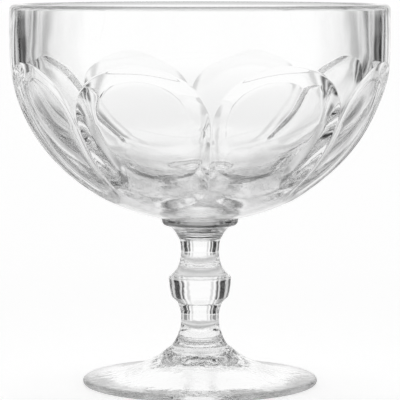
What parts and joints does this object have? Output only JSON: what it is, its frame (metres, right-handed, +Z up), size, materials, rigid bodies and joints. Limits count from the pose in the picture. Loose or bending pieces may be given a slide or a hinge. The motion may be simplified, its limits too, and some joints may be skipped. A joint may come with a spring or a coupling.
{
  "type": "footed dessert bowl",
  "caption": "Clear pressed-glass dessert bowl with arched side panels, on a turned stem with a knop and a round foot, for serving ice cream or pudding.",
  "frame": {"origin": "centre of the plane that the foot rests on, under the bowl's axis", "axes": "+Z up along the bowl's axis; a ridge between two panels of the bowl faces -Y"},
  "size_m": [0.105, 0.105, 0.1056],
  "materials": {
    "bowl_glass": "polished",
    "stem_glass": "polished",
    "foot_glass": "polished"
  },
  "bodies": {
    "root": {"bowl": "bowl_glass", "stem": "stem_glass", "foot": "foot_glass"}
  },
  "joints": []
}
